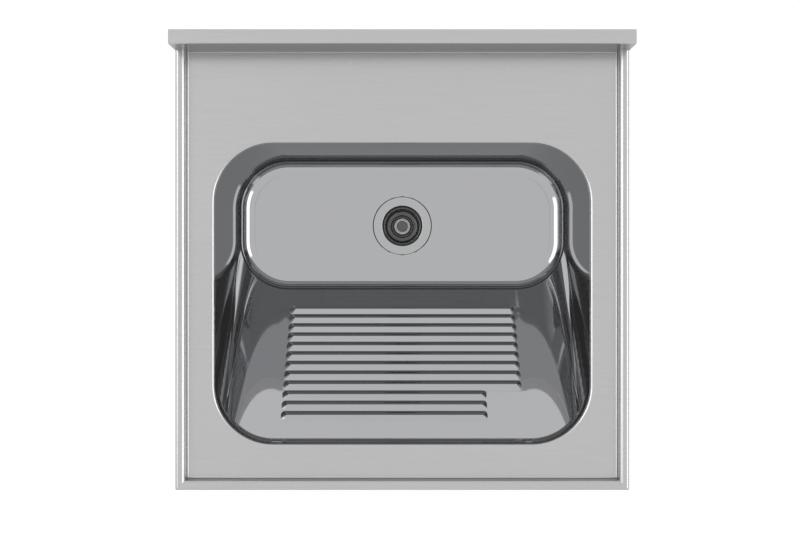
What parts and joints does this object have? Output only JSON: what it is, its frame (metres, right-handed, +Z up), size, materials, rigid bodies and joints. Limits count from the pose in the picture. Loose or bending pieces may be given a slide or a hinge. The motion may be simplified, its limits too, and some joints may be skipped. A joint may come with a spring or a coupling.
{
  "type": "laundry sink",
  "caption": "Square drop-on laundry sink in stainless steel: raised rim, folded wall upstand, deep bowl with a pressed washboard slope, and a lift-out basket strainer waste.",
  "frame": {"origin": "under the middle of the deck, on the plane of the turned-in lip that rests on brackets or a cabinet", "axes": "+X to the right, +Y to the wall behind the upstand, +Z up"},
  "size_m": [0.6, 0.6, 0.4112],
  "materials": {
    "deck_steel": "stainless steel, fine grain brushed from side to side",
    "bowl_steel": "stainless steel, polished until it mirrors",
    "strainer_steel": "stainless steel, polished pressings",
    "galvanised_steel": "zinc-coated sheet with a dull spangle",
    "damping_pad": "bitumen sheet with a pebbled face",
    "seal_rubber": "matt moulded rubber",
    "friction_fibre": "pressed fibre ring",
    "white_plastic": "moulded polypropylene, satin",
    "bush_plastic": "moulded plastic, plain"
  },
  "bodies": {
    "sink": {"deck": "deck_steel", "upstand_end_left": "deck_steel", "upstand_end_right": "deck_steel", "bowl": "bowl_steel", "support_rail_left": "galvanised_steel", "support_rail_right": "galvanised_steel", "front_channel": "galvanised_steel", "rear_channel": "galvanised_steel", "damping_pad_left": "damping_pad", "damping_pad_right": "damping_pad", "damping_pad_back": "damping_pad", "strainer_cup": "strainer_steel", "flange_seal": "seal_rubber", "under_seal": "seal_rubber", "friction_washer": "friction_fibre", "lock_nut": "white_plastic", "outlet_gasket": "seal_rubber", "tailpiece": "white_plastic", "coupling_nut": "white_plastic"},
    "basket": {"strainer_basket": "strainer_steel", "basket_bush": "bush_plastic"},
    "stopper": {"stopper_knob": "strainer_steel", "stopper_plug": "seal_rubber"}
  },
  "joints": [
    {"name": "basket_lift", "type": "slide", "parent": "sink", "child": "basket", "axis": [0, 0, 1], "range_m": [0, 0.12]},
    {"name": "stopper_lift", "type": "slide", "parent": "basket", "child": "stopper", "axis": [0, 0, 1], "range_m": [0, 0.006]}
  ]
}
